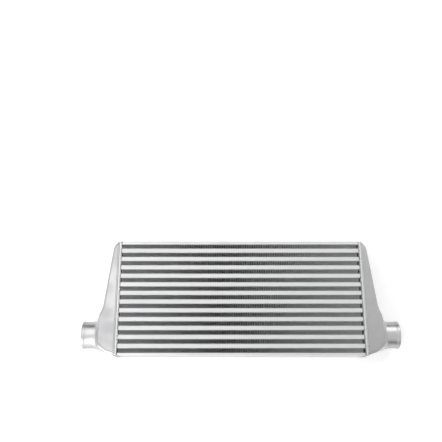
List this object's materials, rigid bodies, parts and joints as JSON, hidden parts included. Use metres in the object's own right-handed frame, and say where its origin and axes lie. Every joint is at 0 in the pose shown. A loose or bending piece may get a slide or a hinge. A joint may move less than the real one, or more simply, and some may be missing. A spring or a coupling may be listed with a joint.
{
  "type": "intercooler",
  "caption": "Bar-and-plate charge-air cooler: long flat finned core between two tapering cast end tanks, each with a round hose neck at its lower outer corner.",
  "frame": {"origin": "middle of the outline seen from the front, on the plane of the back face", "axes": "+X along the core towards the right tank, +Y up the stack of air rows away from the hose necks, +Z out of the front face"},
  "size_m": [0.768, 0.2804, 0.076],
  "materials": {
    "air_fin": "thin rolled fin stock, dull",
    "core_bar": "mill finish extruded bar",
    "side_plate": "mill finish rolled plate",
    "core_sheet": "brazing sheet",
    "inner_fin": "thin rolled fin stock, dull",
    "cast_tank": "sand cast, fine grained",
    "weld_bead": "as-welded ripples"
  },
  "bodies": {
    "root": {"air_fin_01": "air_fin", "air_fin_02": "air_fin", "air_fin_03": "air_fin", "air_fin_04": "air_fin", "air_fin_05": "air_fin", "air_fin_06": "air_fin", "air_fin_07": "air_fin", "air_fin_08": "air_fin", "air_fin_09": "air_fin", "air_fin_10": "air_fin", "air_fin_11": "air_fin", "air_fin_12": "air_fin", "air_fin_13": "air_fin", "back_bar_01": "core_bar", "back_bar_02": "core_bar", "back_bar_03": "core_bar", "back_bar_04": "core_bar", "back_bar_05": "core_bar", "back_bar_06": "core_bar", "back_bar_07": "core_bar", "back_bar_08": "core_bar", "back_bar_09": "core_bar", "back_bar_10": "core_bar", "back_bar_11": "core_bar", "back_bar_12": "core_bar", "bottom_side_plate": "side_plate", "front_bar_01": "core_bar", "front_bar_02": "core_bar", "front_bar_03": "core_bar", "front_bar_04": "core_bar", "front_bar_05": "core_bar", "front_bar_06": "core_bar", "front_bar_07": "core_bar", "front_bar_08": "core_bar", "front_bar_09": "core_bar", "front_bar_10": "core_bar", "front_bar_11": "core_bar", "front_bar_12": "core_bar", "left_end_bars": "core_bar", "left_tank": "cast_tank", "left_weld": "weld_bead", "parting_sheets": "core_sheet", "right_end_bars": "core_bar", "right_tank": "cast_tank", "right_weld": "weld_bead", "top_side_plate": "side_plate", "turbulator_01": "inner_fin", "turbulator_02": "inner_fin", "turbulator_03": "inner_fin", "turbulator_04": "inner_fin", "turbulator_05": "inner_fin", "turbulator_06": "inner_fin", "turbulator_07": "inner_fin", "turbulator_08": "inner_fin", "turbulator_09": "inner_fin", "turbulator_10": "inner_fin", "turbulator_11": "inner_fin", "turbulator_12": "inner_fin"}
  },
  "joints": []
}
